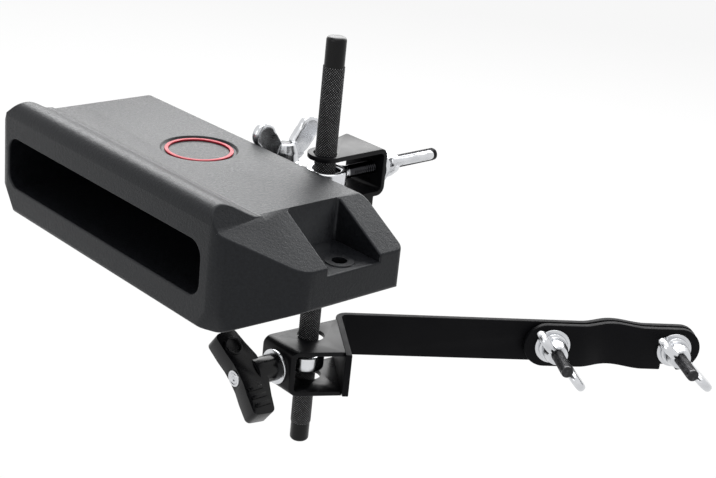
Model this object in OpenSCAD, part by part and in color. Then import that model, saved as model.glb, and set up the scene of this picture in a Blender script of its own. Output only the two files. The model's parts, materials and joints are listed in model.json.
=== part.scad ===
// Jam block on a knurled rod, with its stand clamp arm
// Origin: middle of the stand tube seat on the arm. X runs along the arm, Z along the rod.

/* [Arm and stand clamp] */
// Height of the flat steel arm
arm_h = 22.6; // [18:0.2:28]
// Thickness of the arm and of the clamp plate
arm_t = 3.2; // [2.4:0.1:4]
// From the stand seat to the middle of the rod
arm_reach = 164.5; // [120:0.5:220]
// From the stand seat to the rounded end of the arm
arm_tail = 48; // [44:0.5:60]
// Inner radius of the bend at the arm's flange
arm_bend_r = 3; // [2:0.5:5]
// Rise of the rounded vee that grips the stand
vee_depth = 5; // [3:0.5:8]
// Length of the rounded vee
vee_len = 36; // [28:1:44]
// From one clamp bolt to the other
bolt_gap = 66.5; // [58:0.5:72]
// Length of the clamp plate
plate_len = 96; // [90:1:100]
// Height of the clamp plate
plate_h = 23.6; // [20:0.2:28]
// How far the clamp plate's middle sits below the bolts
plate_sag = 0.5; // [0:0.1:2]
// Width of the notch that lets the plate swing off its outer bolt
notch_w = 9; // [7.5:0.1:12]
// Gap between arm and clamp plate as they nest
plate_gap = 1.3; // [0.3:0.1:2]
// Travel of the clamp plate as its nuts are undone
plate_travel = 16; // [10:0.5:18]

/* [Fasteners] */
// Diameter of every threaded bolt
bolt_d = 6.35; // [5:0.05:8]
// Radial play of a nut on its thread
thread_play = 0.05; // [0.01:0.01:0.1]
// Radial play of a bolt in its plain hole
bolt_play = 0.3; // [0.3:0.05:0.6]
// Diameter of the washers
washer_d = 17.5; // [15:0.5:20]
// Diameter of the washers on the clamp plate
clamp_washer_d = 18.8; // [17:0.1:21]
// Thickness of the washers
washer_t = 1.6; // [1:0.1:2]
// Length of a clamp bolt in front of the washer
clamp_stud_len = 29; // [24:1:34]
// Diameter of the domed bolt heads
head_d = 14; // [12:0.5:16]
// Height of the domed bolt heads
head_h = 3.4; // [2.5:0.1:4.5]

/* [Wing nuts] */
// Span over both wings
wing_span = 40; // [34:0.5:40]
// Height from the seat to the top of the wings
wing_h = 23; // [20:0.5:27]
// Thickness of a wing
wing_t = 4.4; // [3.5:0.1:5.5]
// Radius of the round end of a wing
wing_r = 6.4; // [5:0.1:7.5]
// Diameter of the hub
hub_d = 13; // [11:0.5:15]
// Height of the hub
hub_h = 11; // [9:0.5:13]
// Diameter of the flange under the hub
hub_flange_d = 15.5; // [14:0.5:17]
// Thickness of the flange under the hub
hub_flange_t = 2; // [1.2:0.1:3]

/* [Rod] */
// Length of the rod
rod_len = 208; // [190:1:250]
// Diameter over the plain ends
rod_d = 9.5; // [9:0.1:10]
// Diameter over the knurl
knurl_d = 10.2; // [9.8:0.1:10.8]
// Plain length at the top
rod_top_plain = 13; // [8:0.5:20]
// Plain length at the bottom
rod_foot_plain = 10; // [6:0.5:20]
// Rod length below the middle of the lower bracket
rod_drop = 46; // [40:0.5:70]
// Bevel on the ends of the rod
rod_bevel = 1.4; // [0.5:0.1:2.5]

/* [Brackets] */
// Height of both eye bolt brackets
bracket_h = 23.6; // [21:0.2:27]
// Thickness of the bracket steel
bracket_t = 2.3; // [1.8:0.1:3]
// Inner radius of the bracket bends
bracket_bend_r = 2; // [1:0.5:3]
// Outer width of the lower bracket's web
low_web_w = 22; // [18:0.5:26]
// From the rod to the outer face of the lower bracket's web
low_web_reach = 19.4; // [16.5:0.1:22]
// Direction of the lower eye bolt, seen from above
low_eye_angle = 214; // [200:1:222]
// From the rod to the outer face of the arm's flange
flange_reach = 19.5; // [18:0.5:24]
// Length of the flange in front of the rod
flange_front = 19.6; // [16:0.2:24]
// How far the lower bracket's legs stop short of the flange's end
leg_inset = 2; // [0:0.2:3]
// From the rod forward to the front face of the arm
arm_setback = 26; // [24:0.5:32]
// Height of the upper bracket above the lower one, middle to middle
head_rise = 94.7; // [80:0.1:110]
// Turn of the block and the upper bracket about the rod
head_angle = -54.9; // [-90:0.1:0]
// From the rod to the outer face of the upper bracket's web
up_web_reach = 32.5; // [30:0.5:40]
// Upper bracket width on the side of the pocketed end
up_right = 8.4; // [8:0.1:8.5]
// Upper bracket width on the other side at the web
up_left = 17.5; // [14:0.5:22]
// Radius of the upper bracket's nose round the rod
nose_r = 8.6; // [8.6:0.1:9]

/* [Eye bolts] */
// Outer diameter of the eye
eye_d = 19.5; // [18:0.5:22]
// Inner diameter of the eye
eye_bore = 13.2; // [12.4:0.1:14]
// Height of the eye
eye_h = 8; // [6:0.5:10]
// Play between the eye and the rod it pulls
eye_play = 0.05; // [0.03:0.01:0.1]
// From the rod to the tip of the upper eye bolt
up_eye_len = 73.5; // [66:0.5:80]

/* [Knob] */
// Span of the tee knob
knob_span = 46.5; // [44:0.5:60]
// Thickness of the tee knob's bar
knob_t = 9.5; // [8:0.5:12]
// Depth of the bar at its ends, along the bolt
knob_depth = 13; // [11:0.5:16]
// From the washer to the outer face at the middle
knob_h = 25.8; // [20:0.1:30]
// How much the outer face is hollowed at the middle
knob_dish = 2.5; // [1:0.1:4]
// Diameter of the knob's hub
knob_hub_d = 13.5; // [12:0.5:16]
// Diameter of the threaded insert
insert_d = 8; // [7.4:0.1:9]
// How far the insert stands out of the knob's face
insert_proud = 0.8; // [0:0.1:2]
// Roll of the bar about the bolt
knob_roll = -38; // [-60:1:60]

/* [Block] */
// Length over the two end flanges
block_len = 220; // [200:1:240]
// Length of the flat top
top_len = 160.6; // [150:0.2:170]
// Length of the front face
front_len = 169; // [160:0.5:180]
// Depth from front to rear
block_depth = 85; // [76:0.5:90]
// Height from the underside to the flat top
block_h = 48.4; // [44:0.2:54]
// Drop from the flat top to the outer edge of an end flange
hip_drop = 16.8; // [14:0.2:20]
// Height of the end faces
end_h = 17.5; // [15:0.5:20]
// From the front face back to the corner of the end face
end_setback = 28; // [24:0.5:34]
// Radius of the corners beside the front face
front_corner_r = 10; // [4:1:30]
// Height at which the lower front corners start to fall away, below the flat top
corner_cut_drop = 33; // [28:0.5:40]
// How far they have fallen away at the underside
corner_cut_in = 4.5; // [2:0.1:6]
// Radius of the corners beside the end faces
end_corner_r = 16; // [8:1:20]
// Radius of the rear corners
rear_corner_r = 4; // [2:0.5:6]
// Radius along the rear top edge
rear_edge_r = 3.5; // [1:0.5:4]
// Radius along the lower edges
lower_edge_r = 2.5; // [1:0.5:4]
// Height of the striking ridge over the flat top
ridge_h = 6.8; // [4:0.2:9]
// Length of the striking ridge along its crest
ridge_len = 154; // [140:1:158]
// Depth of the striking ridge
ridge_depth = 26; // [20:0.5:32]
// From the front face to the crest of the ridge
ridge_crest = 7.5; // [6:0.5:10]
// Gap from the rod's middle to the rear of the block
block_gap = 10.5; // [10:0.5:20]
// From the rod to the middle of the block, along the block
block_shift = 42.9; // [30:0.1:60]
// Height of the flat top over the middle of the upper bracket
block_lift = 6.9; // [4:0.1:10]

/* [Sound slot] */
// Length of the slot
slot_len = 154; // [140:1:158]
// Height of the slot
slot_h = 25; // [20:0.5:28]
// From the flat top down to the slot
slot_drop = 10; // [8:0.5:14]
// Radius of the slot's corners
slot_r = 7; // [3:0.5:9]
// How far the slot sits towards the end beside the lug
slot_shift = 1.8; // [0:0.2:4]
// Depth of the sound chamber
chamber_depth = 70; // [60:1:74]

/* [End pockets] */
// From the front face to the pocket
pocket_front = 40.8; // [36:0.2:46]
// Width of the pocket
pocket_w = 29.8; // [26:0.2:34]
// Depth of the pocket's floor below the flat top
pocket_drop = 20.2; // [18:0.2:23]
// Radius of the pocket's inner corners
pocket_r = 2; // [1:0.5:4]
// Diameter of the screw hole in the pocket's floor
screw_d = 7; // [5:0.5:8]
// Diameter of the raised rim round the screw hole
screw_rim_d = 13; // [11:0.5:16]
// Height of that rim
screw_rim_h = 0.5; // [0.3:0.1:1]
// Diameter of the flat seat under the screw hole
screw_seat_d = 12; // [10:0.5:14]
// From the flat top down to that seat
screw_seat_drop = 36; // [32:0.5:38]
// From the end face to the middle of the screw hole
screw_inset = 9.7; // [8:0.1:14]

/* [Badge] */
// Diameter of the round recess on top
badge_d = 36; // [30:0.5:42]
// Depth of that recess
badge_depth = 1.2; // [0.8:0.1:1.5]
// Width of the red ring
ring_w = 1.8; // [1:0.1:3]
// Height of the ring over the recess floor
ring_h = 0.8; // [0.4:0.1:1]
// From the front face to the middle of the badge
badge_back = 54.5; // [48:0.5:60]

/* [Rear lug] */
// From the rod to the lug bolt, along the block
lug_along = 40.4; // [34:0.1:44]
// From the rod to the lug bolt, away from the block
lug_back = 10; // [10:0.5:12]
// Radius of the lug and of the bracket's ear
lug_r = 9.5; // [9:0.5:12]
// Thickness of the lug
lug_t = 8; // [6:0.5:10]
// Width of the lug where it leaves the block
lug_root = 40; // [30:1:50]
// Thickness of the rib under the lug
rib_t = 5; // [4:0.5:7]
// Travel that one turn of a nut gives
thread_pitch = 1.27; // [1:0.01:1.5]

/* [Hidden] */

// Smoothness of true rounds, and of rounds drawn as short chords
$fn = 64;
chords = 8;
// How far a cut runs past the face it opens
over = 1;

// Places worked out from the driving sizes
rod_at = [-arm_reach, -arm_setback, 0];
flange_in = flange_reach - arm_t;
bolt_r = bolt_d / 2;
eye_shift = (eye_bore - knurl_d) / 2 - eye_play;
rod_hole_d = eye_bore;
up_top = head_rise + bracket_h / 2;
up_foot = head_rise - bracket_h / 2;
block_top = head_rise + block_lift;
lug_top = up_foot;
lug_local = [block_shift - lug_along, block_gap + block_depth + lug_back];
lug_drop = block_top - lug_top;
chamber_back = block_depth - chamber_depth;
// Fall of the hip where the front face ends, and depth of the ridge's foot in the block
hip_at_front = max(0, hip_drop * (front_len - top_len) / (block_len - top_len));
ridge_foot = hip_at_front + ridge_h;

// Points of an arc about c, from angle a to angle b
function arc(c, r, a, b, n = chords) =
    [for (i = [0:n]) let (t = a + (b - a) * i / n) c + r * [cos(t), sin(t)]];

// Angle of a direction, and the shortest turn between two angles
function heading(v) = atan2(v[1], v[0]);
function turn(a, b) = let (d = b - a) d > 180 ? d - 360 : d < -180 ? d + 360 : d;

// Short chords that round the corner at q between p and s
function rounded(p, q, s, r, n = chords) =
    r <= 0 ? [q] :
    let (a = heading(q - p), b = heading(s - q), w = turn(a, b), side = sign(w),
         back = r * tan(abs(w) / 2),
         start = q - back * [cos(a), sin(a)],
         c = start + side * r * [-sin(a), cos(a)])
    arc(c, r, a - side * 90, a - side * 90 + w, n);

// A closed outline with a radius at each corner
function soften(pts, radii, n = chords) =
    let (m = len(pts))
    [for (i = [0:m - 1]) each rounded(pts[(i + m - 1) % m], pts[i], pts[(i + 1) % m], radii[i], n)];

// An outline mirrored about the Y axis and closed
function both_sides(half) =
    concat(half, [for (i = [len(half) - 1:-1:0]) [-half[i][0], half[i][1]]]);

// Rise of the rounded vee at x
function vee(x) = abs(x) >= vee_len / 2 ? 0 : vee_depth * (1 + cos(360 * x / vee_len)) / 2;

// Front line of a strap from x0 to x1, with the vee in it
function strap_line(x0, x1, y) =
    concat([[x0, y]],
           [for (i = [0:2 * chords]) let (x = vee_len * (i / (2 * chords) - 0.5)) [x, y + vee(x)]],
           [[x1, y]]);

function backwards(pts) = [for (i = [len(pts) - 1:-1:0]) pts[i]];

module place_head() {
    translate(rod_at) rotate([0, 0, head_angle]) children();
}

module place_block() {
    place_head() translate([-block_shift, -block_gap - block_depth, block_top]) children();
}

module place_lug() {
    place_head() translate([-lug_along, lug_back, up_foot]) children();
}

module place_low_eye() {
    translate(rod_at) rotate([0, 0, low_eye_angle - 90]) rotate([-90, 0, 0]) children();
}

module place_up_eye() {
    place_head() translate([0, 0, head_rise]) rotate([-90, 0, 0]) children();
}

module place_clamp_bolt(side) {
    translate([side * bolt_gap / 2, 0, 0]) rotate([90, 0, 0]) children();
}

// Parts that repeat

module wing_nut() {
    reach = wing_span / 2 - wing_r;
    top = wing_h - wing_r;
    difference() {
        union() {
            cylinder(d = hub_flange_d, h = hub_flange_t);
            cylinder(d = hub_d, h = hub_h * 0.6);
            translate([0, 0, hub_h * 0.6]) cylinder(d1 = hub_d, d2 = hub_d * 0.8, h = hub_h * 0.4);
            for (side = [-1, 1]) {
                rotate([90, 0, 0]) linear_extrude(height = wing_t, center = true) {
                    translate([side * reach, top]) circle(r = wing_r);
                    polygon([[side * hub_d * 0.3, hub_flange_t],
                             [side * hub_flange_d * 0.45, hub_flange_t],
                             [side * (reach + wing_r * cos(-28)), top + wing_r * sin(-28)],
                             [side * (reach + wing_r * cos(152)), top + wing_r * sin(152)],
                             [side * hub_d * 0.3, hub_h]]);
                }
            }
        }
        translate([0, 0, -over]) cylinder(r = bolt_r + thread_play, h = wing_h + 2 * over);
    }
}

module washer(d = washer_d) {
    difference() {
        cylinder(d = d, h = washer_t);
        translate([0, 0, -over]) cylinder(r = bolt_r + bolt_play, h = washer_t + 2 * over);
    }
}

// A domed head that sits at z = 0 and faces down
module domed_head() {
    ball = (head_d * head_d / 4 + head_h * head_h) / (2 * head_h);
    intersection() {
        translate([0, 0, ball - head_h]) sphere(r = ball);
        translate([0, 0, -head_h]) cylinder(d = head_d, h = head_h);
    }
}

// Eye in the z = 0 plane's normal, shank along +Z from the rod's middle
module eye_bolt(tip) {
    bevel = bolt_r * 0.25;
    difference() {
        union() {
            translate([0, 0, eye_shift]) rotate([90, 0, 0]) cylinder(d = eye_d, h = eye_h, center = true);
            translate([0, 0, eye_shift + eye_bore / 2 + over]) {
                cylinder(r = bolt_r, h = tip - eye_shift - eye_bore / 2 - over - bevel);
            }
            translate([0, 0, tip - bevel]) cylinder(r1 = bolt_r, r2 = bolt_r - bevel, h = bevel);
        }
        translate([0, 0, eye_shift]) rotate([90, 0, 0]) cylinder(d = eye_bore, h = eye_h + 2 * over, center = true);
    }
}

// Arm and stand clamp

module arm() {
    left = -arm_reach + flange_in;
    outer = arm_bend_r + arm_t;
    color("#26262a")
    difference() {
        intersection() {
            translate([0, 0, -arm_h / 2]) linear_extrude(height = arm_h) {
                polygon(concat(
                    strap_line(left + outer, arm_tail, 0),
                    backwards(strap_line(left + outer, arm_tail, arm_t)),
                    arc([left + outer, -arm_bend_r], outer, 90, 180),
                    [[left, -arm_setback - flange_front]],
                    [[left + arm_t, -arm_setback - flange_front]],
                    arc([left + outer, -arm_bend_r], arm_bend_r, 180, 90)));
            }
            arm_silhouette();
        }
        for (side = [-1, 1]) {
            place_clamp_bolt(side) cylinder(r = bolt_r + bolt_play, h = 4 * arm_t, center = true);
        }
    }
}

// The arm's outline from the front: square flange, rounded tail
module arm_silhouette() {
    deep = arm_setback + flange_front + vee_depth + arm_t + over;
    end_x = -arm_reach + flange_in - over;
    tail_c = arm_tail - arm_h / 2;
    translate([0, vee_depth + arm_t + over, 0]) rotate([90, 0, 0]) linear_extrude(height = deep) {
        translate([end_x, -arm_h / 2]) square([tail_c - end_x, arm_h]);
        translate([tail_c, 0]) circle(d = arm_h);
    }
}

module clamp_plate() {
    y = -plate_gap - arm_t;
    half = plate_len / 2;
    round_c = half - plate_h / 2;
    slot_w = bolt_d + 2 * bolt_play;
    color("#1e1e20")
    difference() {
        intersection() {
            translate([0, 0, -plate_sag - plate_h / 2]) linear_extrude(height = plate_h) {
                polygon(concat(strap_line(-half, half, y), backwards(strap_line(-half, half, y + arm_t))));
            }
            translate([0, vee_depth + over, -plate_sag]) rotate([90, 0, 0])
                linear_extrude(height = vee_depth + arm_t + plate_gap + 2 * over) {
                    square([2 * round_c, plate_h], center = true);
                    for (side = [-1, 1]) translate([side * round_c, 0]) circle(d = plate_h);
                }
        }
        for (side = [-1, 1]) {
            place_clamp_bolt(side) cylinder(d = slot_w, h = 4 * arm_t, center = true);
        }
        // The outer hole is open below, so that the plate can swing off its bolt
        translate([(bolt_gap + slot_w) / 2 - notch_w, y - over, -plate_h]) {
            cube([notch_w, arm_t + 2 * over, plate_h]);
        }
    }
}

module clamp_bolt(side) {
    bevel = bolt_r * 0.25;
    front = plate_gap + arm_t + washer_t + clamp_stud_len;
    color("#202022")
    place_clamp_bolt(side) {
        translate([0, 0, -arm_t]) domed_head();
        translate([0, 0, -arm_t - head_h / 2]) cylinder(r = bolt_r, h = arm_t + head_h / 2 + front - bevel);
        translate([0, 0, front - bevel]) cylinder(r1 = bolt_r, r2 = bolt_r - bevel, h = bevel);
    }
}

module clamp_bolt_inner() { clamp_bolt(-1); }
module clamp_bolt_outer() { clamp_bolt(1); }

module clamp_washer(side) {
    color("#c9ccd0")
    place_clamp_bolt(side) translate([0, 0, plate_gap + arm_t]) washer(clamp_washer_d);
}

module clamp_washer_inner() { clamp_washer(-1); }
module clamp_washer_outer() { clamp_washer(1); }

// Roll of the clamp wing nuts, and of the two nuts on the upper bracket
inner_nut_roll = -48;
outer_nut_roll = -40;
up_nut_roll = -25;
lug_nut_roll = 90;

module clamp_wing_nut(side) {
    color("#d8dade")
    place_clamp_bolt(side) translate([0, 0, plate_gap + arm_t + washer_t]) {
        rotate([0, 0, side < 0 ? inner_nut_roll : outer_nut_roll]) wing_nut();
    }
}

module clamp_wing_nut_inner() { clamp_wing_nut(-1); }
module clamp_wing_nut_outer() { clamp_wing_nut(1); }

// Lower bracket: a strap bent into two legs, welded to the arm's flange

low_dir = [cos(low_eye_angle), sin(low_eye_angle)];
low_side = [-sin(low_eye_angle), cos(low_eye_angle)];

module low_outline() {
    a = low_web_reach * low_dir + low_web_w / 2 * low_side;
    b = low_web_reach * low_dir - low_web_w / 2 * low_side;
    polygon([a, [flange_in, leg_inset - flange_front], [flange_in, arm_setback - arm_bend_r - arm_t], b]);
}

// Side view of the strap: closed at the web, rounded at its two bends
module strap_section(reach, depth) {
    r_out = bracket_bend_r + bracket_t;
    half = bracket_h / 2;
    difference() {
        polygon(soften([[-depth, -half], [reach, -half], [reach, half], [-depth, half]],
                       [0, r_out, r_out, 0]));
        polygon(soften([[-depth - over, bracket_t - half], [reach - bracket_t, bracket_t - half],
                        [reach - bracket_t, half - bracket_t], [-depth - over, half - bracket_t]],
                       [0, bracket_bend_r, bracket_bend_r, 0]));
    }
}

module lower_bracket() {
    wide = 2 * (arm_setback + flange_front);
    color("#18181a")
    difference() {
        translate(rod_at) intersection() {
            rotate([0, 0, low_eye_angle]) rotate([90, 0, 0])
                linear_extrude(height = wide, center = true) strap_section(low_web_reach, wide);
            translate([0, 0, -bracket_h]) linear_extrude(height = 2 * bracket_h) low_outline();
        }
        place_low_eye() cylinder(r = bolt_r + bolt_play, h = 2 * low_web_reach);
        translate(rod_at) rotate([0, 0, low_eye_angle]) translate([-eye_shift, 0, -bracket_h]) {
            cylinder(d = rod_hole_d, h = 2 * bracket_h);
        }
    }
}

module lower_eye_bolt() {
    color("#d8dade")
    place_low_eye() eye_bolt(low_web_reach + washer_t + knob_h - knob_dish - bracket_t);
}

module lower_washer() {
    color("#d8dade") place_low_eye() translate([0, 0, low_web_reach]) washer();
}

// Outline of the knob's bar, seen square to the bar
module knob_outline() {
    half = knob_span / 2;
    tip = knob_h;
    mid = knob_h - knob_dish;
    root = knob_h - knob_depth;
    polygon(both_sides(concat(
        [[0, root - 1.5 * knob_dish]],
        soften([[knob_hub_d / 2, root - 1.5 * knob_dish], [half * 0.62, root - knob_dish * 0.4],
                [half, root + knob_dish * 0.6], [half - knob_dish * 0.6, tip],
                [half * 0.5, tip - knob_dish * 0.45]],
               [0, 0, knob_dish * 1.2, knob_dish, 0], 5),
        [[half * 0.25, mid + knob_dish * 0.12], [0, mid]])));
}

module t_knob() {
    rib_w = knob_dish * 0.7;
    color("#141416")
    place_low_eye() translate([0, 0, low_web_reach + washer_t]) rotate([0, 0, knob_roll])
    difference() {
        union() {
            cylinder(d = knob_hub_d, h = knob_h - knob_depth);
            rotate([90, 0, 0]) linear_extrude(height = knob_t, center = true) knob_outline();
            // Three grip ribs on one wing, a plain ring on the other
            for (i = [0:2]) {
                translate([-knob_span * (0.2 + 0.09 * i), 0, knob_h - knob_depth * 0.55]) {
                    cube([rib_w, knob_t + rib_w, knob_depth * 0.62], center = true);
                }
            }
            translate([knob_span * 0.3, 0, knob_h - knob_depth * 0.52]) rotate([90, 0, 0]) {
                cylinder(d = knob_depth * 0.72, h = knob_t + rib_w, center = true);
            }
        }
        for (side = [-1, 1]) {
            translate([knob_span * 0.3, side * (knob_t / 2 + rib_w), knob_h - knob_depth * 0.52])
                rotate([90, 0, 0]) cylinder(d = knob_depth * 0.56, h = 2 * rib_w, center = true);
        }
        translate([0, 0, -over]) cylinder(d = insert_d, h = knob_h + 2 * over);
    }
}

module knob_insert() {
    mid = knob_h - knob_dish;
    color("#c9ccd0")
    place_low_eye() translate([0, 0, low_web_reach + washer_t]) difference() {
        cylinder(d = insert_d, h = mid + insert_proud);
        translate([0, 0, -over]) cylinder(r = bolt_r + thread_play, h = mid - bracket_t / 2 + over);
    }
}

// Rod

module rod() {
    color("#1b1b1d")
    translate(rod_at) translate([0, 0, -rod_drop]) {
        cylinder(d1 = rod_d - 2 * rod_bevel, d2 = rod_d, h = rod_bevel);
        translate([0, 0, rod_bevel]) cylinder(d = rod_d, h = rod_len - 2 * rod_bevel);
        translate([0, 0, rod_foot_plain]) cylinder(d = knurl_d, h = rod_len - rod_foot_plain - rod_top_plain);
        translate([0, 0, rod_len - rod_bevel]) cylinder(d1 = rod_d, d2 = rod_d - 2 * rod_bevel, h = rod_bevel);
    }
}

// Upper bracket: the same bent strap, with a nose round the rod and an ear for the lug bolt

up_bend = up_web_reach - bracket_bend_r - bracket_t;

module up_outline() {
    polygon([[up_right, up_bend], [-up_left, up_bend], 0.9 * nose_r * [cos(190), sin(190)], [0, 0], [up_right, 0]]);
    circle(r = nose_r);
}

module ear_outline() {
    polygon([[-lug_along, lug_back] + 0.95 * lug_r * [cos(235), sin(235)],
             [-lug_along, lug_back] + 0.95 * lug_r * [cos(75), sin(75)],
             [-up_left, up_bend - bracket_bend_r], [0, lug_back]]);
    translate([-lug_along, lug_back]) circle(r = lug_r);
}

module upper_bracket() {
    lip = lug_t * 0.8;
    color("#18181a")
    place_head() difference() {
        union() {
            // Web and bends
            translate([-up_left, 0, head_rise]) rotate([0, 0, 90]) rotate([90, 0, 0])
                linear_extrude(height = up_left + up_right) intersection() {
                    strap_section(up_web_reach, 0);
                    translate([up_bend, -bracket_h]) square(2 * bracket_h);
                }
            translate([0, 0, up_top - bracket_t]) linear_extrude(height = bracket_t) up_outline();
            translate([0, 0, up_foot]) linear_extrude(height = bracket_t) {
                up_outline();
                ear_outline();
            }
            // A short lip folded down from the lower leg
            translate([up_right - bracket_t, up_web_reach / 2, up_foot - lip]) {
                cube([bracket_t, up_bend - up_web_reach / 2 - bracket_t, lip]);
            }
        }
        translate([0, 0, head_rise]) rotate([-90, 0, 0]) cylinder(r = bolt_r + bolt_play, h = 2 * up_web_reach);
        translate([0, -eye_play * 8, up_foot - over]) {
            cylinder(d = knurl_d + eye_play * 20, h = bracket_h + 2 * over);
        }
        translate([-lug_along, lug_back, up_foot - over]) {
            cylinder(r = bolt_r + bolt_play, h = bracket_t + 2 * over);
        }
    }
}

module upper_eye_bolt() {
    color("#d8dade") place_up_eye() eye_bolt(up_eye_len);
}

module upper_washer() {
    color("#d8dade") place_up_eye() translate([0, 0, up_web_reach]) washer();
}

module upper_wing_nut() {
    color("#d8dade")
    place_up_eye() translate([0, 0, up_web_reach + washer_t]) rotate([0, 0, up_nut_roll]) wing_nut();
}

// Block

module block_plan() {
    polygon(both_sides(concat(
        [[0, 0]],
        rounded([0, 0], [front_len / 2, 0], [block_len / 2, end_setback], front_corner_r),
        rounded([front_len / 2, 0], [block_len / 2, end_setback], [block_len / 2, block_depth], end_corner_r),
        rounded([block_len / 2, 0], [block_len / 2, block_depth], [0, block_depth], rear_corner_r),
        [[0, block_depth]])));
}

module block_front() {
    polygon(both_sides(concat(
        [[0, 0], [top_len / 2, 0], [block_len / 2, -hip_drop]],
        rounded([block_len / 2, -hip_drop], [block_len / 2, -hip_drop - end_h],
                [front_len / 2, -block_h], lower_edge_r, 4),
        rounded([block_len / 2, -hip_drop - end_h], [front_len / 2, -block_h], [0, -block_h], 4 * lower_edge_r),
        [[0, -block_h]])));
}

module block_side() {
    polygon(soften([[0, 0], [0, -block_h], [block_depth, -block_h], [block_depth, 0]],
                   [0, lower_edge_r, lower_edge_r, rear_edge_r]));
}

// The ridge seen from the front, its ends falling to where the hips begin
module ridge_front() {
    polygon([[-front_len / 2, -ridge_foot], [front_len / 2, -ridge_foot], [front_len / 2, -hip_at_front],
             [ridge_len / 2, ridge_h], [-ridge_len / 2, ridge_h], [-front_len / 2, -hip_at_front]]);
}

// The ridge rises from the front face in a round and falls back to the flat top
module ridge_side() {
    fall = ridge_depth - ridge_crest;
    polygon(concat(
        [[0, -ridge_foot]],
        arc([ridge_crest, ridge_h - ridge_crest], ridge_crest, 180, 90),
        [for (i = [1:2 * chords]) let (t = i / (2 * chords)) [ridge_crest + fall * t, ridge_h * (1 + cos(180 * t)) / 2]],
        [[ridge_depth, -ridge_foot]]));
}

// Cuts the lower front corner away along a leaning plane
module corner_cut() {
    side_turn = atan2(end_setback, (block_len - front_len) / 2);
    lean = atan2(corner_cut_in, block_h - corner_cut_drop);
    translate([front_len / 2, 0, -corner_cut_drop]) rotate([0, 0, side_turn / 2 - 90]) rotate([0, lean, 0]) {
        translate([0, -block_h / 2, -block_h]) cube(block_h);
    }
}

module block_hull() {
    difference() {
        intersection() {
            translate([0, 0, -block_h]) linear_extrude(height = block_h) block_plan();
            translate([0, block_depth, 0]) rotate([90, 0, 0]) linear_extrude(height = block_depth) block_front();
            rotate([90, 0, 90]) linear_extrude(height = block_len, center = true) block_side();
        }
        for (side = [0, 1]) mirror([side, 0, 0]) corner_cut();
    }
    intersection() {
        translate([0, 0, -ridge_foot]) linear_extrude(height = ridge_foot + ridge_h) block_plan();
        rotate([90, 0, 90]) linear_extrude(height = front_len, center = true) ridge_side();
        translate([0, ridge_depth, 0]) rotate([90, 0, 0]) linear_extrude(height = ridge_depth) ridge_front();
    }
}

module sound_chamber() {
    mid = slot_drop + slot_h / 2;
    half = slot_len / 2;
    translate([-slot_shift, chamber_depth, -mid]) rotate([90, 0, 0]) linear_extrude(height = chamber_depth + over) {
        polygon(soften([[-half, -slot_h / 2], [half, -slot_h / 2], [half, slot_h / 2], [-half, slot_h / 2]],
                       [slot_r, slot_r, slot_r, slot_r]));
    }
}

module end_pocket() {
    wall = top_len / 2;
    deep = block_len / 2 - wall;
    translate([0, 0, -pocket_drop]) linear_extrude(height = pocket_drop + over) {
        polygon(soften([[wall, pocket_front], [wall + deep + over, pocket_front],
                        [wall + deep + over, pocket_front + pocket_w], [wall, pocket_front + pocket_w]],
                       [pocket_r, 0, 0, pocket_r]));
    }
}

module screw_place() {
    translate([block_len / 2 - screw_inset, pocket_front + pocket_w / 2, -pocket_drop]) children();
}

module rear_lug() {
    root = lug_local[1] - block_depth;
    translate([lug_local[0], lug_local[1], -lug_drop - lug_t]) {
        linear_extrude(height = lug_t) {
            circle(r = lug_r);
            polygon([[-lug_r, 0], [lug_r, 0], [lug_root / 2, -root], [-lug_root / 2, -root]]);
        }
        // A rib under the lug, tapering out to the bolt head
        for (side = [-1, 1]) {
            translate([side * (lug_root / 2 - rib_t) - rib_t / 2, 0, 0]) rotate([90, 0, 90])
                linear_extrude(height = rib_t) polygon([[-root, 0], [-lug_r * 1.2, 0], [-root, -lug_t]]);
        }
    }
}

module block_body() {
    color("#3a3a3d")
    place_block() difference() {
        union() {
            difference() {
                block_hull();
                sound_chamber();
                for (side = [0, 1]) mirror([side, 0, 0]) end_pocket();
                translate([0, badge_back, -badge_depth]) cylinder(d = badge_d, h = badge_depth + over);
            }
            for (side = [0, 1]) mirror([side, 0, 0]) screw_place() cylinder(d = screw_rim_d, h = screw_rim_h);
            rear_lug();
        }
        for (side = [0, 1]) mirror([side, 0, 0]) screw_place() {
            translate([0, 0, -block_h]) cylinder(d = screw_d, h = block_h + pocket_drop);
            translate([0, 0, pocket_drop - screw_seat_drop - block_h]) cylinder(d = screw_seat_d, h = block_h);
        }
        translate([lug_local[0], lug_local[1], -lug_drop - lug_t - over]) {
            cylinder(r = bolt_r + bolt_play, h = lug_t + 2 * over);
        }
    }
}

module badge_ring() {
    color("#b3202c")
    place_block() translate([0, badge_back, -badge_depth]) difference() {
        cylinder(d = badge_d - 2 * ring_w, h = ring_h);
        translate([0, 0, -over]) cylinder(d = badge_d - 4 * ring_w, h = ring_h + 2 * over);
    }
}

module lug_bolt() {
    bevel = bolt_r * 0.25;
    top = bracket_t + washer_t + hub_h;
    color("#202022")
    place_lug() {
        translate([0, 0, -lug_t]) domed_head();
        translate([0, 0, -lug_t - head_h / 2]) cylinder(r = bolt_r, h = lug_t + head_h / 2 + top - bevel);
        translate([0, 0, top - bevel]) cylinder(r1 = bolt_r, r2 = bolt_r - bevel, h = bevel);
    }
}

module lug_washer() {
    color("#d8dade") place_lug() translate([0, 0, bracket_t]) washer();
}

module lug_wing_nut() {
    color("#d8dade")
    place_lug() translate([0, 0, bracket_t + washer_t]) rotate([0, 0, lug_nut_roll]) wing_nut();
}

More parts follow.
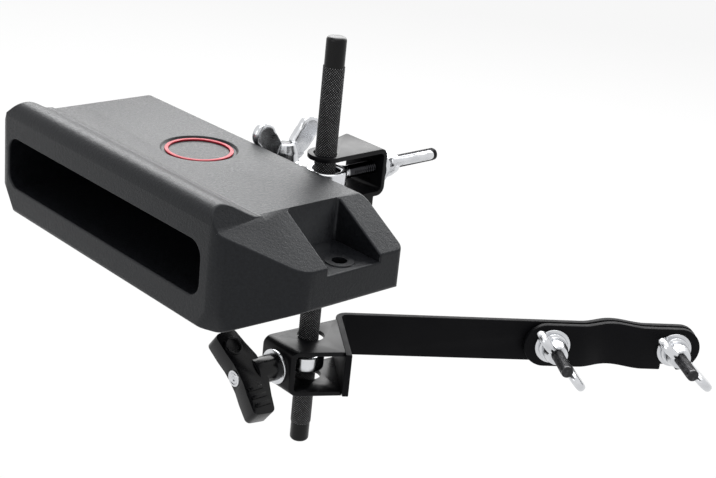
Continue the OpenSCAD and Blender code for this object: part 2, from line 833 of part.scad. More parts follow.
arm();
lower_bracket();
clamp_bolt_inner();
clamp_bolt_outer();
clamp_plate();
clamp_washer_inner();
clamp_washer_outer();
clamp_wing_nut_inner();
clamp_wing_nut_outer();
lower_eye_bolt();
lower_washer();
t_knob();
knob_insert();
rod();
upper_bracket();
upper_eye_bolt();
upper_washer();
upper_wing_nut();
block_body();
badge_ring();
lug_bolt();
lug_washer();
lug_wing_nut();
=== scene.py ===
# Moulded percussion block on a knurled rod, with its brackets and stand clamp arm.
# Looks only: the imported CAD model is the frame, and every piece rides on one of its bodies.
import bpy
import json
import math
from mathutils import Matrix, Vector


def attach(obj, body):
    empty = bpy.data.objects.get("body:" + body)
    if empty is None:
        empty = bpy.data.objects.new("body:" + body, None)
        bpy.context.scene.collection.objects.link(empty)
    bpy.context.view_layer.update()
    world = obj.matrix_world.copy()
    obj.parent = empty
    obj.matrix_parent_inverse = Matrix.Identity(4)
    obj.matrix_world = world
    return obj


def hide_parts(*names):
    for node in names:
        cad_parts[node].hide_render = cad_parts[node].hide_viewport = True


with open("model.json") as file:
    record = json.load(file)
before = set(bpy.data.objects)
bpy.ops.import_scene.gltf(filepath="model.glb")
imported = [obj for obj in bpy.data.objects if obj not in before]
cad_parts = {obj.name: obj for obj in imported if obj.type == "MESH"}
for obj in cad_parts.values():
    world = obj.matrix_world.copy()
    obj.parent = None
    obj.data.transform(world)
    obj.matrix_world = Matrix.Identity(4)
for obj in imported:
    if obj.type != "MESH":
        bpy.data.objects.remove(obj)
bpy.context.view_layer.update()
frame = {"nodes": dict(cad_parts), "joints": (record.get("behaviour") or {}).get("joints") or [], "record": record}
record = frame["record"]
joints = {j["name"]: j for j in frame["joints"]}
body_of_node = {n: b for b, names in record["behaviour"]["bodies"].items() for n in names}

# All sizes and places below are in millimetres, apart from those of the studio, which are in metres
MM = 0.001


# Places

def place_of(*steps):
    """Chains moves and turns, outermost first. A place moves, an (axis, degrees) pair turns."""
    m = Matrix.Identity(4)
    for step in steps:
        if isinstance(step[0], str):
            m = m @ Matrix.Rotation(math.radians(step[1]), 4, step[0])
        else:
            m = m @ Matrix.Translation(Vector(step) * MM)
    return m


def joint_place(name):
    return Vector(joints[name]["pos_m"]) / MM


def joint_axis(name):
    return Vector(joints[name]["axis"])


def facing(name):
    """The turn about Z that brings +Y onto a joint's level axis."""
    x, y, _ = joints[name]["axis"]
    return "Z", -math.degrees(math.atan2(x, y))


# Where the head, the bolts through the brackets and the stand clamp, and the block's lug sit
HEAD = (joint_place("head_turn"), facing("upper_nut_turn"))
UPPER_CLAMP = (joint_place("upper_nut_turn"), facing("upper_nut_turn"), ("X", -90))
LOWER_CLAMP = (joint_place("knob_turn"), facing("knob_turn"), ("X", -90))
CLAMP_INNER = (joint_place("clamp_nut_inner_turn"), ("X", 90))
CLAMP_OUTER = (joint_place("clamp_nut_outer_turn"), ("X", 90))
LUG_ALONG, LUG_BACK, LUG_LEVEL = 40.4, 10, joint_place("block_turn").z
LUG = (*HEAD, (-LUG_ALONG, LUG_BACK, LUG_LEVEL))

# Seats of the nuts, out along their bolts
CLAMP_SEAT = (0, 0, 6.1)
UPPER_SEAT = (0, 0, 34.1)
LUG_SEAT = (0, 0, 3.9)


# Workbench

# Merging a CAD mesh: corners closer than this are one, and faces that lie this flat, in degrees, are joined
MERGE, FLAT = 0.004, 0.6


def only(obj):
    """Selects one object and nothing else."""
    bpy.ops.object.select_all(action="DESELECT")
    obj.select_set(True)
    bpy.context.view_layer.objects.active = obj
    return obj


def apply_place(obj):
    bpy.ops.object.transform_apply(location=True, rotation=True, scale=True)
    return obj


def settle(obj, node, finish):
    """Gives a finished piece its name, body and finish, and lets it stand for its CAD node."""
    apply_place(only(obj))
    obj.name = node + "_shown"
    obj.data.name = obj.name
    obj.data.materials.clear()
    obj.data.materials.append(finish)
    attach(obj, body_of_node[node])
    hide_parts(node)


def set_down(obj, *steps):
    obj.matrix_world = place_of(*steps) @ obj.matrix_world
    return obj


def smooth(obj, degrees):
    only(obj)
    bpy.ops.object.shade_smooth_by_angle(angle=math.radians(degrees))
    return obj


def add_modifier(obj, kind, **values):
    only(obj)
    m = obj.modifiers.new(kind.title(), kind)
    for key, value in values.items():
        setattr(m, key, value)
    bpy.ops.object.modifier_apply(modifier=m.name)
    return obj


def bevelled(obj, radius, segments, angle, clamp=True):
    return add_modifier(obj, "BEVEL", width=radius * MM, segments=segments, limit_method="ANGLE",
                        angle_limit=math.radians(angle), use_clamp_overlap=clamp)


def cut_away(obj, tool):
    add_modifier(obj, "BOOLEAN", operation="DIFFERENCE", solver="EXACT", object=tool)
    bpy.data.objects.remove(tool)
    return obj


def new_object(name, data):
    obj = bpy.data.objects.new(name, data)
    bpy.context.scene.collection.objects.link(obj)
    return obj


def copy_of_node(node):
    """A merged copy of a CAD node's mesh, with its flat faces joined again."""
    obj = only(new_object(node + "_piece", frame["nodes"][node].data.copy()))
    bpy.ops.object.mode_set(mode="EDIT")
    bpy.ops.mesh.select_all(action="SELECT")
    bpy.ops.mesh.remove_doubles(threshold=MERGE * MM)
    bpy.ops.mesh.dissolve_limited(angle_limit=math.radians(FLAT))
    return done(obj)


def add_cylinder(radius, height, foot=0, sides=48):
    """An upright cylinder on the Z axis that stands at the height of its foot."""
    bpy.ops.object.select_all(action="DESELECT")
    bpy.ops.mesh.primitive_cylinder_add(vertices=sides, radius=radius * MM, depth=height * MM,
                                        location=(0, 0, (foot + height / 2) * MM))
    return bpy.context.object


def add_cone(low_radius, high_radius, height, foot, sides=48):
    bpy.ops.object.select_all(action="DESELECT")
    bpy.ops.mesh.primitive_cone_add(vertices=sides, radius1=low_radius * MM, radius2=high_radius * MM,
                                    depth=height * MM, location=(0, 0, (foot + height / 2) * MM))
    return bpy.context.object


def joined(pieces):
    bpy.ops.object.select_all(action="DESELECT")
    for piece in pieces:
        piece.select_set(True)
    bpy.context.view_layer.objects.active = pieces[0]
    bpy.ops.object.join()
    return apply_place(pieces[0])


def pick(obj, kind, wanted):
    """Edit mode with just the faces, edges or corners selected that the test wants."""
    only(obj)
    bpy.ops.object.mode_set(mode="EDIT")
    bpy.ops.mesh.select_mode(type=kind)
    bpy.ops.mesh.select_all(action="DESELECT")
    bpy.ops.object.mode_set(mode="OBJECT")
    for element in {"FACE": obj.data.polygons, "EDGE": obj.data.edges, "VERT": obj.data.vertices}[kind]:
        element.select = wanted(element)
    bpy.ops.object.mode_set(mode="EDIT")


def anything(element):
    return True


def done(obj):
    bpy.ops.object.mode_set(mode="OBJECT")
    return obj


def slice_off(obj, height, above=False):
    """Cuts a closed piece flat at a height, and drops what lies below, or above."""
    only(obj)
    bpy.ops.object.mode_set(mode="EDIT")
    bpy.ops.mesh.select_all(action="SELECT")
    bpy.ops.mesh.bisect(plane_co=(0, 0, height * MM), plane_no=(0, 0, 1), use_fill=True,
                        clear_inner=not above, clear_outer=above)
    return done(obj)


# Finishes

class Finish:
    """A node material built step by step on one Principled shader."""

    def __init__(self, name, color, roughness, metallic=0.0, specular=0.5):
        self.mat = bpy.data.materials.new(name)
        self.mat.use_nodes = True
        self.tree = self.mat.node_tree
        self.shader = self.tree.nodes["Principled BSDF"]
        put = self.shader.inputs
        put["Base Color"].default_value = (*color, 1)
        put["Roughness"].default_value = roughness
        put["Metallic"].default_value = metallic
        put["Specular IOR Level"].default_value = specular
        self.place = self.node("ShaderNodeTexCoord").outputs["Object"]

    def node(self, kind, **values):
        n = self.tree.nodes.new(kind)
        for key, value in values.items():
            setattr(n, key, value)
        return n

    def link(self, a, b):
        self.tree.links.new(a, b)

    def math(self, operation, a, b=None):
        n = self.node("ShaderNodeMath", operation=operation)
        for socket, value in zip(n.inputs, (a, b)):
            if value is not None:
                self.link(value, socket)
        return n.outputs[0]

    def noise(self, size, detail=2.0, roughness=0.5):
        """Noise whose grain has a size in millimetres."""
        n = self.node("ShaderNodeTexNoise")
        n.inputs["Scale"].default_value = 1 / (size * MM)
        n.inputs["Detail"].default_value = detail
        n.inputs["Roughness"].default_value = roughness
        self.link(self.place, n.inputs["Vector"])
        return n.outputs["Fac"]

    def between(self, fac, low, high, from_low=0.3, from_high=0.7):
        n = self.node("ShaderNodeMapRange")
        n.inputs["From Min"].default_value = from_low
        n.inputs["From Max"].default_value = from_high
        n.inputs["To Min"].default_value = low
        n.inputs["To Max"].default_value = high
        self.link(fac, n.inputs["Value"])
        return n.outputs["Result"]

    def tint(self, fac, dark, light):
        n = self.node("ShaderNodeMix", data_type="RGBA")
        n.inputs["A"].default_value = (*dark, 1)
        n.inputs["B"].default_value = (*light, 1)
        self.link(fac, n.inputs["Factor"])
        self.link(n.outputs["Result"], self.shader.inputs["Base Color"])

    def gloss(self, fac, smooth_value, rough_value):
        self.link(self.between(fac, smooth_value, rough_value), self.shader.inputs["Roughness"])

    def bump(self, height, depth, strength=0.4):
        n = self.node("ShaderNodeBump")
        n.inputs["Strength"].default_value = strength
        n.inputs["Distance"].default_value = depth * MM
        self.link(height, n.inputs["Height"])
        self.link(n.outputs["Normal"], self.shader.inputs["Normal"])

    def turned_place(self, centre, axis):
        """Object coordinates seen along an axis: the third one runs along it from the centre."""
        shift = self.node("ShaderNodeVectorMath", operation="SUBTRACT")
        shift.inputs[1].default_value = centre * MM
        self.link(self.place, shift.inputs[0])
        along = axis.normalized()
        across = along.orthogonal().normalized()
        parts = []
        for row in (across, along.cross(across), along):
            dot = self.node("ShaderNodeVectorMath", operation="DOT_PRODUCT")
            dot.inputs[1].default_value = row
            self.link(shift.outputs[0], dot.inputs[0])
            parts.append(dot.outputs["Value"])
        return parts


# How far out the knurl's painted sparkle highlight begins and is strongest, and where an eye bolt turns from
# bright to black
PAINTED_SPARKLE_FROM, PAINTED_SPARKLE_TO = 4.97, 5.07
EYE_BRIGHT_TO, SHANK_BLACK_FROM = 13.0, 14.5


def moulded_plastic():
    f = Finish("block_moulded_plastic", (0.0055, 0.006, 0.0075), 0.38, specular=0.25)
    f.shader.inputs["Specular Tint"].default_value = (0.93, 0.96, 1.0, 1)
    grain = f.noise(1.3, 4.0, 0.75)
    f.tint(f.between(grain, 0, 1), (0.002, 0.002, 0.003), (0.010, 0.011, 0.013))
    f.gloss(grain, 0.28, 0.48)
    f.bump(grain, 0.20, 0.9)
    return f.mat


def ring_red():
    f = Finish("badge_ring_red", (0.60, 0.03, 0.06), 0.4, specular=0.25)
    f.tint(f.between(f.noise(3), 0, 1), (0.54, 0.025, 0.045), (0.66, 0.04, 0.07))
    f.bump(f.noise(0.5), 0.02)
    return f.mat


def knob_plastic():
    f = Finish("knob_moulded_plastic", (0.004, 0.004, 0.005), 0.22, specular=0.24)
    f.tint(f.between(f.noise(8), 0, 1), (0.003, 0.003, 0.004), (0.0055, 0.0055, 0.0065))
    f.gloss(f.noise(4, 3.0), 0.18, 0.28)
    f.bump(f.noise(0.6), 0.02)
    return f.mat


def matte_coating():
    f = Finish("arm_matte_coating", (0.005, 0.005, 0.006), 0.5, specular=0.07)
    f.tint(f.between(f.noise(30, 3.0), 0, 1), (0.004, 0.004, 0.005), (0.0065, 0.0065, 0.0075))
    f.gloss(f.noise(6, 4.0), 0.46, 0.54)
    f.bump(f.noise(0.5), 0.03, 0.5)
    return f.mat


def gloss_coating():
    f = Finish("bracket_gloss_coating", (0.005, 0.005, 0.006), 0.30, specular=0.13)
    f.tint(f.between(f.noise(12, 3.0), 0, 1), (0.004, 0.004, 0.005), (0.0065, 0.0065, 0.0075))
    f.gloss(f.noise(7), 0.27, 0.33)
    f.bump(f.noise(0.9), 0.012)
    return f.mat


def bright_plating():
    f = Finish("bright_plating", (0.64, 0.65, 0.67), 0.22, metallic=1.0)
    f.tint(f.between(f.noise(7, 3.0), 0, 1), (0.58, 0.59, 0.61), (0.69, 0.70, 0.72))
    f.gloss(f.noise(3, 3.0), 0.18, 0.27)
    f.bump(f.noise(1.4), 0.012)
    return f.mat


def black_bolt(name):
    """Black oxide, rubbed bright here and there."""
    f = Finish(name + "_black_oxide", (0.022, 0.022, 0.024), 0.32, metallic=0.5)
    f.tint(f.between(f.noise(2.2, 3.0), 0, 1, 0.5, 0.75), (0.018, 0.018, 0.020), (0.07, 0.07, 0.075))
    f.gloss(f.noise(1.5, 3.0), 0.24, 0.42)
    f.bump(f.noise(0.4), 0.02)
    return f.mat


def eye_finish(name, joint):
    """Bright plating on the eye, black oxide along the threaded shank."""
    f = Finish(name + "_plating", (0.8, 0.81, 0.83), 0.16, metallic=1.0)
    out = f.turned_place(joint_place(joint), joint_axis(joint))[2]
    shank = f.between(out, 0, 1, EYE_BRIGHT_TO * MM, SHANK_BLACK_FROM * MM)
    f.tint(shank, (0.68, 0.69, 0.71), (0.030, 0.030, 0.033))
    f.gloss(f.noise(2.5, 3.0), 0.14, 0.26)
    f.bump(f.noise(1.4), 0.012)
    return f.mat


def knurled_black():
    """Black, with painted sparkle highlights in spots on the knurl's crests."""
    f = Finish("rod_black", (0.006, 0.006, 0.007), 0.32, specular=0.2)
    x, y, _ = f.turned_place(joint_place("head_turn"), joint_axis("head_turn"))
    out = f.math("SQRT", f.math("ADD", f.math("MULTIPLY", x, x), f.math("MULTIPLY", y, y)))
    crest = f.between(out, 0, 1, PAINTED_SPARKLE_FROM * MM, PAINTED_SPARKLE_TO * MM)
    # The light grey spots on the crests are painted highlights that stand in for the knurl's sparkle
    painted_sparkle = f.math("MULTIPLY", crest, f.between(f.noise(0.8, 1.0), 0.5, 1, 0.45, 0.6))
    f.tint(painted_sparkle, (0.003, 0.003, 0.0035), (0.62, 0.62, 0.63))
    f.gloss(f.noise(3, 3.0), 0.24, 0.36)
    f.bump(f.noise(0.35), 0.02)
    return f.mat


# Studio, in metres: the camera of the photograph, which turns from +Y towards +X, looks down and rolls
CAMERA_PLACE = (-0.25132, -0.64831, 0.31578)
CAMERA_TURN, CAMERA_DROP, CAMERA_ROLL = 9.6855, 21.7569, 6.0882
SENSOR_MM, LENS_MM = 36, 71.303
NEAREST, FARTHEST = 0.05, 20

# Soft lights: place, width, height and watts. All look at the middle of the object
LIT_MIDDLE = Vector((-0.15, -0.02, 0.05))
LIGHTS = {
    "back_softbox": ((0.15, 1.15, 0.85), 1.8, 1.0, 26),
    "top_softbox": ((-0.1, -0.1, 1.3), 1.0, 1.0, 6),
    "front_fill": ((-1.2, -0.9, 0.7), 0.8, 0.8, 3),
}
# Strength of the plain light all round, the white that is seen there, and the floor's paint and glow
SOFT_LIGHT, SEEN_WHITE = 0.30, 1.0
FLOOR_PAINT, FLOOR_GLOW = 0.9, 0.9
FLOOR_SIZE, FLOOR_PLACE = 6, (-0.1, 0, -0.24)


def photo_camera():
    data = bpy.data.cameras.new("photo_camera")
    data.sensor_width = SENSOR_MM
    data.lens = LENS_MM
    data.clip_start, data.clip_end = NEAREST, FARTHEST
    camera = new_object("photo_camera", data)
    camera.matrix_world = Matrix.Translation(CAMERA_PLACE) @ place_of(
        ("Z", -CAMERA_TURN), ("X", 90 - CAMERA_DROP), ("Z", CAMERA_ROLL))
    bpy.context.scene.camera = camera


def softbox(name, place, width, height, power):
    data = bpy.data.lights.new(name, "AREA")
    data.shape = "RECTANGLE"
    data.size, data.size_y = width, height
    data.energy = power
    light = new_object(name, data)
    light.location = place
    light.rotation_mode = "QUATERNION"
    light.rotation_quaternion = (LIT_MIDDLE - light.location).to_track_quat("-Z", "Y")


def looked_at(tree):
    """1 for the camera's rays, and for those that metal, gloss or glass send on."""
    rays = tree.nodes.new("ShaderNodeLightPath").outputs
    last = rays["Is Camera Ray"]
    for kind in ("Is Glossy Ray", "Is Transmission Ray"):
        n = tree.nodes.new("ShaderNodeMath")
        n.operation = "MAXIMUM"
        tree.links.new(last, n.inputs[0])
        tree.links.new(rays[kind], n.inputs[1])
        last = n.outputs[0]
    return last


def pale_world():
    """White where it is seen, also in metal and gloss, and a soft plain light on the object."""
    world = bpy.data.worlds.new("studio")
    bpy.context.scene.world = world
    world.use_nodes = True
    tree = world.node_tree
    tree.nodes.clear()
    mix = tree.nodes.new("ShaderNodeMixShader")
    tree.links.new(looked_at(tree), mix.inputs[0])
    for socket, strength in ((1, SOFT_LIGHT), (2, SEEN_WHITE)):
        shade = tree.nodes.new("ShaderNodeBackground")
        shade.inputs["Color"].default_value = (1, 1, 1, 1)
        shade.inputs["Strength"].default_value = strength
        tree.links.new(shade.outputs[0], mix.inputs[socket])
    tree.links.new(mix.outputs[0], tree.nodes.new("ShaderNodeOutputWorld").inputs["Surface"])


def pale_floor():
    """White paper under the object. It keeps the object's shadow."""
    bpy.ops.object.select_all(action="DESELECT")
    bpy.ops.mesh.primitive_plane_add(size=FLOOR_SIZE, location=FLOOR_PLACE)
    floor = bpy.context.object
    floor.name = "floor"
    mat = bpy.data.materials.new("floor_pale")
    mat.use_nodes = True
    tree = mat.node_tree
    tree.nodes.clear()
    paint = tree.nodes.new("ShaderNodeBsdfDiffuse")
    paint.inputs["Color"].default_value = (FLOOR_PAINT, FLOOR_PAINT, FLOOR_PAINT, 1)
    glow = tree.nodes.new("ShaderNodeEmission")
    share = tree.nodes.new("ShaderNodeMath")
    share.operation = "MULTIPLY"
    share.inputs[1].default_value = FLOOR_GLOW
    tree.links.new(looked_at(tree), share.inputs[0])
    mix = tree.nodes.new("ShaderNodeMixShader")
    for output, socket in ((share, 0), (paint, 1), (glow, 2)):
        tree.links.new(output.outputs[0], mix.inputs[socket])
    tree.links.new(mix.outputs[0], tree.nodes.new("ShaderNodeOutputMaterial").inputs["Surface"])
    floor.data.materials.append(mat)


# Pieces made from the CAD's own shapes

# Edges that fold by more than this angle are rounded in this many steps
SHARP_ANGLE, SOFT_STEPS = 30, 3
# Places of the housing, seen from above in the head's frame, round which the edges stay sharp: the two
# screw holes and the two ends of the ridge's foot. Each is x, y and how far round
KEPT_SHARP = ((57.4, -39.8, 8), (-143.2, -39.8, 8), (37.4, -69.5, 3), (-123.2, -69.5, 3))
# Edges shorter than this crowd together, and what meets them stays sharp too
HOUSING_SHORTEST = 0.42
# The groove and cup in the insert's end, from the rim inwards: width and depth of each step
INSERT_STEPS = ((0.9, 0), (0.25, -0.5), (0.3, 0), (0.25, 0.4), (0.9, 0), (0.4, -0.7))


def soft_edges(obj, radius):
    return smooth(bevelled(obj, radius, SOFT_STEPS, SHARP_ANGLE), 32)


def soften_housing(obj, radius):
    """Rounds the sharp edges, apart from those at a kept place or where a very short edge starts."""
    sides, crowded = {}, set()
    to_head = place_of(*HEAD).inverted()
    for corner in obj.data.vertices:
        spot = to_head @ corner.co / MM
        if any(math.hypot(spot.x - x, spot.y - y) < reach for x, y, reach in KEPT_SHARP):
            crowded.add(corner.index)
    for face in obj.data.polygons:
        for key in face.edge_keys:
            sides.setdefault(key, []).append(face.normal.copy())
    for edge in obj.data.edges:
        a, b = (obj.data.vertices[i].co for i in edge.vertices)
        if (a - b).length < HOUSING_SHORTEST * MM:
            crowded.update(edge.vertices)

    def sharp(edge):
        normals = sides.get(edge.key, [])
        return (len(normals) == 2 and normals[0].angle(normals[1]) > math.radians(SHARP_ANGLE)
                and crowded.isdisjoint(edge.vertices))

    pick(obj, "EDGE", sharp)
    bpy.ops.mesh.bevel(offset=radius * MM, segments=SOFT_STEPS, affect="EDGES", clamp_overlap=False)
    smooth(done(obj), 40)
    return add_modifier(obj, "WEIGHTED_NORMAL", keep_sharp=True)


def insert_end(obj, radius):
    """Turns a groove and a shallow cup into the insert's bright end."""
    out = joint_axis("knob_turn")
    end = max(face.center.dot(out) for face in obj.data.polygons)
    pick(obj, "FACE", lambda face: face.center.dot(out) > end - 0.01 * MM and face.normal.dot(out) > 0.99)
    for width, depth in INSERT_STEPS:
        bpy.ops.mesh.inset(thickness=width * MM, depth=depth * MM)
    return soft_edges(done(obj), radius)


# Cast wing nut: radius, height and foot of its flange and its hub, then the crown, whose hub narrows
FLANGE = (7.75, 2.4, -0.4)
HUB = (6.5, 4.8, 1.9)
CROWN_TOP, CROWN_HEIGHT, CROWN_FOOT = 5.2, 4.4, 6.6
NUT_BORE, NUT_CUT, NUT_CUT_FOOT, NUT_SEAT = 3.28, 24, -4, 0.02
# Its wings: radius, thickness and sides, their centre out from the axis and up it, and the way to the hub
WING_RADIUS, WING_THICK, WING_SIDES, WING_OUT, WING_UP = 6.5, 4.5, 40, 14.25, 16.6
HUBWARD, DOWNWARD = 0.63, 0.777
# The two steps on that way: length, and what the width and the thickness are multiplied by
WING_ROOT = ((6.5, 0.94, 1.0), (5.5, 0.88, 1.25))
# Rounding of the wings' edges, and the fineness of the mesh that melts the nut into one
WING_SOFT, CAST_GRAIN = 2.0, 0.34


def wing(side):
    """One cast wing: a thick paddle with rounded edges, drawn down to the hub."""
    bpy.ops.object.select_all(action="DESELECT")
    bpy.ops.mesh.primitive_cylinder_add(vertices=WING_SIDES, radius=WING_RADIUS * MM,
                                        depth=WING_THICK * MM, rotation=(math.pi / 2, 0, 0),
                                        location=(side * WING_OUT * MM, 0, WING_UP * MM))
    obj = apply_place(bpy.context.object)
    root = Vector((-side * HUBWARD, 0, -DOWNWARD))
    pick(obj, "FACE", lambda face: face.normal.dot(root) > 0.3)
    for length, narrower, thicker in WING_ROOT:
        bpy.ops.mesh.extrude_region_move(TRANSFORM_OT_translate={"value": root * length * MM})
        bpy.ops.transform.resize(value=(narrower, thicker, narrower))
    return bevelled(done(obj), WING_SOFT, 5, 60, clamp=False)


def wing_nut_master():
    """A cast and plated wing nut that stands on its seat, made once and copied."""
    nut = joined([add_cylinder(*FLANGE), add_cylinder(*HUB),
                  add_cone(HUB[0], CROWN_TOP, CROWN_HEIGHT, CROWN_FOOT), wing(1), wing(-1)])
    add_modifier(nut, "REMESH", mode="VOXEL", voxel_size=CAST_GRAIN * MM)
    add_modifier(nut, "SMOOTH", factor=0.5, iterations=6)
    cut_away(nut, add_cylinder(NUT_BORE, NUT_CUT, NUT_CUT_FOOT, 40))
    slice_off(nut, NUT_SEAT)
    return smooth(nut, 50)


# Thread: 20 turns to the inch, its crest's radius and its depth, the width of the V's foot, the share of
# that at its tip, how far after its start the V stands, steps in a turn, and how close corners are welded
PITCH, CREST, THREAD_DEPTH = 1.27, 3.17, 0.38
V_WIDTH, V_TIP_SHARE, V_LEAD, TURN_STEPS, WELD = 1.12, 0.16, 0.6, 28, 0.0005
# Shanks: their plain radius and sides, and the collar that ends them, with its bevel
NECK, SHANK_SIDES = 3.15, 40
COLLAR, COLLAR_LENGTH, TIP_BEVEL = CREST - 0.12, 1.1, 0.3
# How much sooner than the tip the core and the thread end, and how far a thread sinks into its core
CORE_SHORT, THREAD_SHORT, SINK = 1.2, 1.0, 0.06
# Domed heads, how far their neck goes past the grip, and where their thread starts
DOME_WIDTH, DOME_HEIGHT, NECK_PAST, DOME_THREAD = 14, 3.4, 3, 2.4
# Eye round the rod: radius, bore, height, rounding, its shift along the shank, and the cut's overrun
EYE_RADIUS, EYE_BORE, EYE_HEIGHT, EYE_SOFT, EYE_SHIFT, OVERRUN = 9.75, 6.6, 8, 1.1, 1.45, 2
# From the eye's middle out: the cone's foot, height and radius, the plain neck, the core and its thread
CONE_FOOT, CONE_HEIGHT, CONE_RADIUS = 8.8, 3.2, 3.98
PLAIN_START, PLAIN_LENGTH, CORE_START, EYE_THREAD = 11.9, 3.5, 9, 14.8


def thread_ridge(start, end):
    """A V thread that climbs round a core."""
    middle = Vector(((CREST - THREAD_DEPTH / 2) * MM, 0, (start + V_LEAD) * MM))
    bpy.ops.object.select_all(action="DESELECT")
    bpy.ops.mesh.primitive_plane_add(size=V_WIDTH * MM, rotation=(math.pi / 2, 0, 0), location=middle)
    obj = apply_place(bpy.context.object)
    pick(obj, "VERT", anything)
    bpy.ops.transform.resize(value=(THREAD_DEPTH / V_WIDTH, 1, 1), center_override=middle)
    done(obj)
    pick(obj, "VERT", lambda corner: corner.co.x > middle.x)
    bpy.ops.transform.resize(value=(1, 1, V_TIP_SHARE), center_override=middle)
    done(obj)
    add_modifier(obj, "SCREW", axis="Z", angle=2 * math.pi, screw_offset=PITCH * MM,
                 iterations=int((end - start) / PITCH), steps=TURN_STEPS, render_steps=TURN_STEPS)
    pick(obj, "VERT", anything)
    bpy.ops.mesh.remove_doubles(threshold=WELD * MM)
    bpy.ops.mesh.fill_holes(sides=4)
    bpy.ops.mesh.normals_make_consistent(inside=False)
    return done(obj)


def threaded_shank(start, thread_start, tip):
    """Core, collar with a bevelled tip, and thread of a bolt along +Z."""
    return [add_cylinder(CREST - THREAD_DEPTH + SINK, tip - start - CORE_SHORT, start, SHANK_SIDES),
            add_cylinder(COLLAR, COLLAR_LENGTH, tip - TIP_BEVEL - COLLAR_LENGTH, SHANK_SIDES),
            add_cone(COLLAR, COLLAR - TIP_BEVEL, TIP_BEVEL, tip - TIP_BEVEL, SHANK_SIDES),
            thread_ridge(thread_start, tip - THREAD_SHORT)]


def domed_bolt(grip, tip):
    """A domed head behind what it holds, a plain neck through that, then thread to the tip."""
    ball = (DOME_WIDTH ** 2 / 4 + DOME_HEIGHT ** 2) / (2 * DOME_HEIGHT)
    bpy.ops.object.select_all(action="DESELECT")
    bpy.ops.mesh.primitive_uv_sphere_add(segments=64, ring_count=48, radius=ball * MM,
                                         location=(0, 0, (ball - DOME_HEIGHT - grip) * MM))
    dome = slice_off(apply_place(bpy.context.object), -grip, above=True)
    neck = add_cylinder(NECK, grip + NECK_PAST, -grip)
    return joined([dome, neck] + threaded_shank(0, DOME_THREAD, tip))


def eye_bolt(tip):
    """A forged eye round the rod, its axis along Y, and a threaded shank along +Z."""
    ring = add_cylinder(EYE_RADIUS, EYE_HEIGHT, -EYE_HEIGHT / 2, 72)
    cut_away(ring, add_cylinder(EYE_BORE, EYE_HEIGHT + 2 * OVERRUN, -EYE_HEIGHT / 2 - OVERRUN, 64))
    bevelled(ring, EYE_SOFT, 4, 50)
    ring.rotation_euler = (math.pi / 2, 0, 0)
    ring.location = (0, 0, EYE_SHIFT * MM)
    cone = add_cone(CONE_RADIUS, NECK, CONE_HEIGHT, EYE_SHIFT + CONE_FOOT, SHANK_SIDES)
    plain = add_cylinder(NECK, PLAIN_LENGTH, EYE_SHIFT + PLAIN_START, SHANK_SIDES)
    return joined([ring, cone, plain] + threaded_shank(EYE_SHIFT + CORE_START, EYE_SHIFT + EYE_THREAD, tip))


# Rod: its foot, length, radius and bevel, and how far the knurl stays from each end
ROD_FOOT, ROD_LENGTH, ROD_RADIUS, ROD_BEVEL = -46.0, 208.0, 4.75, 1.7
PLAIN_FOOT, PLAIN_TOP = 10, 13
# Knurl: diamonds round the rod, their pitch along it, the radii of their feet and tops, and their tip
KNURLS_ROUND, KNURL_PITCH, KNURL_CORE, KNURL_TOP, KNURL_TIP = 26, 1.26, 4.6, 5.1, 0.18


def knurl_row(half_step):
    """One set of raised diamonds, set round the rod and repeated along it."""
    start, end = ROD_FOOT + PLAIN_FOOT, ROD_FOOT + ROD_LENGTH - PLAIN_TOP
    wide = 2 * math.pi * KNURL_CORE / KNURLS_ROUND
    lift = (start + (1 + half_step) * KNURL_PITCH / 2) * MM
    bpy.ops.object.select_all(action="DESELECT")
    bpy.ops.mesh.primitive_cone_add(vertices=4, radius1=KNURL_PITCH / 2 * MM, radius2=KNURL_TIP * MM,
                                    depth=(KNURL_TOP - KNURL_CORE + SINK) * MM,
                                    rotation=(0, math.pi / 2, 0),
                                    location=((KNURL_TOP + KNURL_CORE - SINK) / 2 * MM, 0, lift))
    diamond = apply_place(bpy.context.object)
    pick(diamond, "VERT", anything)
    bpy.ops.transform.resize(value=(1, wide / KNURL_PITCH, 1), center_override=(KNURL_CORE * MM, 0, lift))
    done(diamond)
    diamond.rotation_euler = (0, 0, half_step * math.pi / KNURLS_ROUND)
    apply_place(only(diamond))
    pick(diamond, "VERT", anything)
    bpy.ops.mesh.spin(steps=KNURLS_ROUND - 1, dupli=True, angle=2 * math.pi * (1 - 1 / KNURLS_ROUND),
                      center=(0, 0, 0), axis=(0, 0, 1))
    return add_modifier(done(diamond), "ARRAY", use_relative_offset=False, use_constant_offset=True,
                        constant_offset_displace=(0, 0, KNURL_PITCH * MM),
                        count=int((end - start) / KNURL_PITCH - 0.5))


def knurled_rod():
    """The rod: plain bevelled ends, and a diamond knurl between them."""
    bar = bevelled(add_cylinder(ROD_RADIUS, ROD_LENGTH, ROD_FOOT, 72), ROD_BEVEL, 5, 60)
    return joined([bar, knurl_row(0), knurl_row(1)])


# The object, piece by piece

photo_camera()
pale_world()
pale_floor()
for name, setting in LIGHTS.items():
    softbox(name, *setting)
bpy.context.scene.view_settings.view_transform = "Standard"

finishes = {
    "block": moulded_plastic(), "ring": ring_red(), "knob": knob_plastic(), "arm": matte_coating(),
    "bracket": gloss_coating(), "zinc": bright_plating(), "rod": knurled_black(),
}

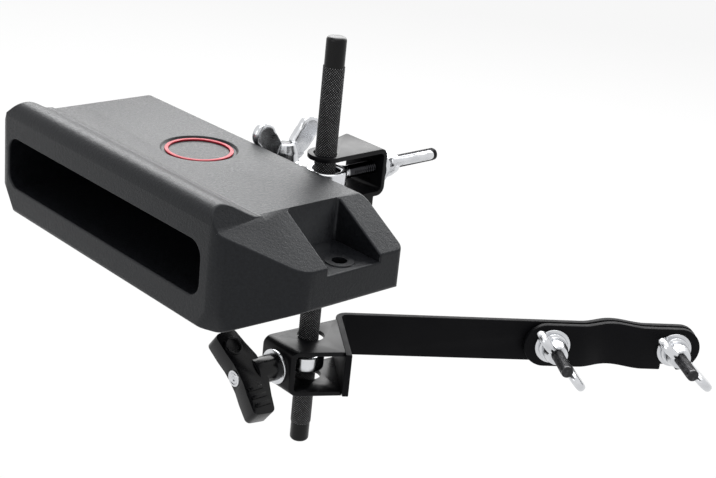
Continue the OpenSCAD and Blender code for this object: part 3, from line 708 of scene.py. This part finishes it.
# Pieces that keep the CAD's shape: how their edges are softened, by how much, and their finish
SOFT = {
    "arm": (soft_edges, 0.45, "arm"),
    "clamp_plate": (soft_edges, 0.45, "arm"),
    "lower_bracket": (soft_edges, 0.6, "bracket"),
    "upper_bracket": (soft_edges, 0.6, "bracket"),
    "clamp_washer_inner": (soft_edges, 0.3, "zinc"),
    "clamp_washer_outer": (soft_edges, 0.3, "zinc"),
    "lower_washer": (soft_edges, 0.3, "zinc"),
    "upper_washer": (soft_edges, 0.3, "zinc"),
    "lug_washer": (soft_edges, 0.3, "zinc"),
    "t_knob": (soft_edges, 1.0, "knob"),
    "knob_insert": (insert_end, 0.25, "zinc"),
    "block_body": (soften_housing, 0.8, "block"),
    "badge_ring": (soft_edges, 0.2, "ring"),
}
for node, (soften, radius, finish) in SOFT.items():
    settle(soften(copy_of_node(node), radius), node, finishes[finish])

# Wing nuts: where they sit, and how far they are turned
NUTS = {
    "clamp_wing_nut_inner": (*CLAMP_INNER, CLAMP_SEAT, ("Z", -48)),
    "clamp_wing_nut_outer": (*CLAMP_OUTER, CLAMP_SEAT, ("Z", -40)),
    "upper_wing_nut": (*UPPER_CLAMP, UPPER_SEAT, ("Z", -25)),
    "lug_wing_nut": (*LUG, LUG_SEAT, ("Z", 90)),
}
nut = wing_nut_master()
for node, steps in NUTS.items():
    settle(set_down(new_object(node, nut.data.copy()), *steps), node, finishes["zinc"])
bpy.data.objects.remove(nut)

# Bolts: what they grip and how far they reach, then where they sit
BOLTS = {
    "clamp_bolt_inner": (3.2, 35.1, CLAMP_INNER),
    "clamp_bolt_outer": (3.2, 35.1, CLAMP_OUTER),
    "lug_bolt": (8.0, 14.9, LUG),
}
for node, (grip, tip, steps) in BOLTS.items():
    settle(set_down(smooth(domed_bolt(grip, tip), 35), *steps), node, black_bolt(node))

# Eye bolts: how far they reach, where they sit, and the joint along them
EYES = {
    "upper_eye_bolt": (73.5, UPPER_CLAMP, "upper_nut_turn"),
    "lower_eye_bolt": (42.0, LOWER_CLAMP, "knob_turn"),
}
for node, (tip, steps, joint) in EYES.items():
    settle(set_down(smooth(eye_bolt(tip), 35), *steps), node, eye_finish(node, joint))

rod = set_down(knurled_rod(), joint_place("head_turn"))
settle(smooth(rod, 30), "rod", finishes["rod"])
